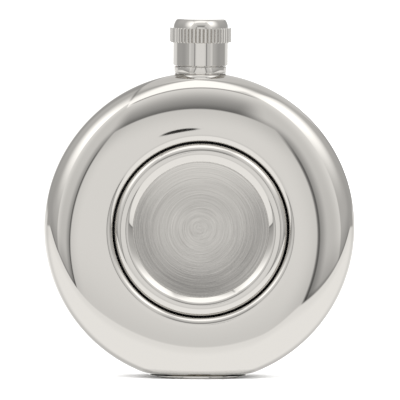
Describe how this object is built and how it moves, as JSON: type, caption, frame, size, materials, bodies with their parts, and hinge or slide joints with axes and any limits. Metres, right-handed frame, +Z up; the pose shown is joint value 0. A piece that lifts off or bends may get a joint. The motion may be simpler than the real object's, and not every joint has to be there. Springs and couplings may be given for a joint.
{
  "type": "round hip flask",
  "caption": "Round polished steel hip flask standing on a flat foot, with a fluted screw cap and a telescopic cup stowed in a well in its front.",
  "frame": {"origin": "centre of the underside of the foot plate, on the surface the flask stands on", "axes": "+Z up towards the cap, -Y towards the front with the cup, +X to the right of a viewer in front"},
  "size_m": [0.108, 0.0283, 0.1248],
  "materials": {
    "polished_steel": "mirror polished stainless steel",
    "satin_steel": "spun satin stainless steel",
    "black_rubber": "matte black rubber",
    "silicone": "translucent white silicone",
    "nylon": "off-white moulded nylon"
  },
  "bodies": {
    "flask": {"front_shell": "polished_steel", "back_shell": "polished_steel", "cup_well": "satin_steel", "foot_plate": "polished_steel", "neck_collar": "polished_steel", "neck_spout": "satin_steel"},
    "cap_liner": {"cap_gasket": "silicone"},
    "cap": {"cap_shell": "polished_steel", "cap_thread_bush": "nylon"},
    "cup_mouth": {"cup_mouth_section": "polished_steel"},
    "cup_third": {"cup_third_section": "polished_steel"},
    "cup_second": {"cup_second_section": "polished_steel"},
    "cup_base": {"cup_bottom_section": "satin_steel", "cup_foot_ring": "polished_steel", "cup_retaining_ring": "black_rubber"}
  },
  "joints": [
    {"name": "cap_lift", "type": "slide", "parent": "flask", "child": "cap_liner", "axis": [0, 0, 1], "range_m": [0, 0.0127]},
    {"name": "cap_turn", "type": "hinge", "parent": "cap_liner", "child": "cap", "pos_m": [0, 0, 0.11422], "axis": [0, 0, 1], "range_deg": [0, 1440]},
    {"name": "cup_pull_out", "type": "slide", "parent": "flask", "child": "cup_mouth", "axis": [0, -1, 0], "range_m": [0, 0.024]},
    {"name": "cup_third_extend", "type": "slide", "parent": "cup_mouth", "child": "cup_third", "axis": [0, -1, 0], "range_m": [0, 0.0085]},
    {"name": "cup_second_extend", "type": "slide", "parent": "cup_third", "child": "cup_second", "axis": [0, -1, 0], "range_m": [0, 0.0085]},
    {"name": "cup_base_extend", "type": "slide", "parent": "cup_second", "child": "cup_base", "axis": [0, -1, 0], "range_m": [0, 0.0085]}
  ],
  "couplings": [
    {"joint": "cap_lift", "follows": "cap_turn", "m_per_rad": 0.00050532}
  ]
}
